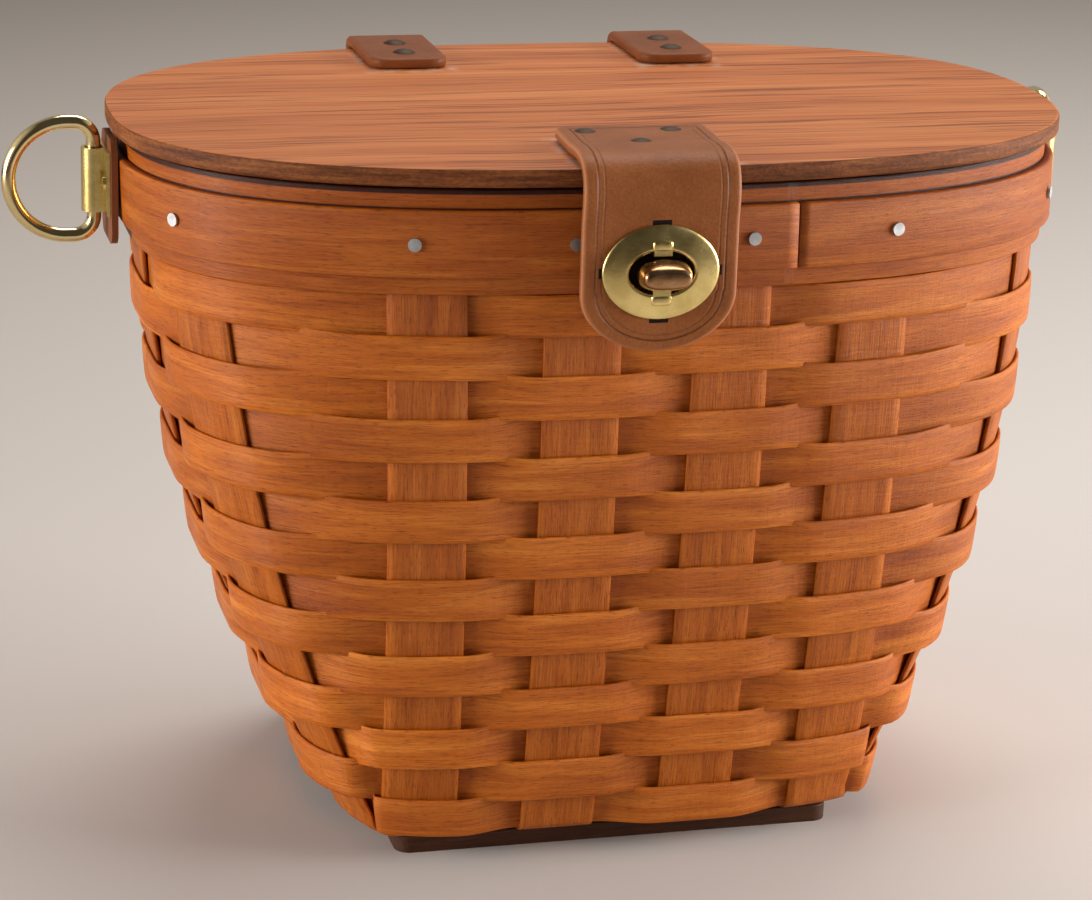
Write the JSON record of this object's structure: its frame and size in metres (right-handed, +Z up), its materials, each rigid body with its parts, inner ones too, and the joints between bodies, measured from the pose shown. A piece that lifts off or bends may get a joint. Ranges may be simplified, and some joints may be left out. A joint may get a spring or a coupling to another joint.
{
  "type": "basket purse",
  "caption": "Woven wood-splint purse basket with a flat hinged wooden lid, leather hinges, a leather strap with a turn lock, and a swivelling D-ring at each end.",
  "frame": {"origin": "centre of the base board's underside, on the surface that the basket stands on", "axes": "+Z up, +X to the right along the longer side, -Y towards the viewer, the side with the strap and the turn lock"},
  "size_m": [0.2776, 0.1699, 0.1859],
  "materials": {
    "weaver_splint": "varnished, satin",
    "stake_splint": "varnished, satin",
    "base_board": "varnished, satin",
    "rim_wood": "varnished, satin",
    "lid_wood": "varnished, satin",
    "zinc": "dull",
    "hinge_leather": "smooth",
    "strap_leather": "smooth, waxed",
    "brass": "polished, lightly aged",
    "dark_bronze": "dull, darkened"
  },
  "bodies": {
    "basket": {"base_board": "base_board", "cross_stake_1": "stake_splint", "cross_stake_2": "stake_splint", "cross_stake_3": "stake_splint", "cross_stake_4": "stake_splint", "long_stake_1": "stake_splint", "long_stake_2": "stake_splint", "long_stake_3": "stake_splint", "weaver_01": "weaver_splint", "weaver_02": "weaver_splint", "weaver_03": "weaver_splint", "weaver_04": "weaver_splint", "weaver_05": "weaver_splint", "weaver_06": "weaver_splint", "weaver_07": "weaver_splint", "weaver_08": "weaver_splint", "weaver_09": "weaver_splint", "weaver_10": "weaver_splint", "weaver_11": "weaver_splint", "weaver_12": "weaver_splint", "weaver_13": "weaver_splint", "weaver_14": "weaver_splint", "rim_inner_band": "rim_wood", "rim_under_band": "rim_wood", "rim_outer_band": "rim_wood", "rim_tacks": "zinc", "hinge_strap_left": "hinge_leather", "hinge_strap_right": "hinge_leather", "hinge_rim_rivets": "brass", "lock_base_plate": "brass", "lock_base_screws": "brass", "button_washer": "brass", "ring_pad_left": "strap_leather", "ring_pad_right": "strap_leather", "ring_keeper_left": "brass", "ring_keeper_right": "brass", "keeper_rivets_left": "brass", "keeper_rivets_right": "brass"},
    "lid": {"lid": "lid_wood", "hinge_lid_rivets": "brass", "strap_rivets": "brass"},
    "strap": {"front_strap": "strap_leather", "lock_face_plate": "brass", "lock_backing": "brass"},
    "turn_button": {"turn_button": "dark_bronze"},
    "ring_left": {"d_ring_left": "brass"},
    "ring_right": {"d_ring_right": "brass"}
  },
  "joints": [
    {"name": "lid_hinge", "type": "hinge", "parent": "basket", "child": "lid", "pos_m": [0, 0.0769, 0.177], "axis": [-1, 0, 0], "range_deg": [0, 105], "deforming": ["hinge_strap_left", "hinge_strap_right"]},
    {"name": "strap_swing", "type": "hinge", "parent": "lid", "child": "strap", "pos_m": [0, -0.0809, 0.1787], "axis": [-1, 0, 0], "range_deg": [0, 80], "deforming": ["front_strap"]},
    {"name": "turn_button_spin", "type": "hinge", "parent": "basket", "child": "turn_button", "pos_m": [-0.0032, -0.07585, 0.1585], "axis": [0, -1, 0], "range_deg": [0, 90]},
    {"name": "ring_left_swivel", "type": "hinge", "parent": "basket", "child": "ring_left", "pos_m": [-0.12586, 0, 0.1653], "axis": [0, 0, 1], "range_deg": [-90, 90]},
    {"name": "ring_right_swivel", "type": "hinge", "parent": "basket", "child": "ring_right", "pos_m": [0.12586, 0, 0.1653], "axis": [0, 0, 1], "range_deg": [-180, 0]}
  ]
}
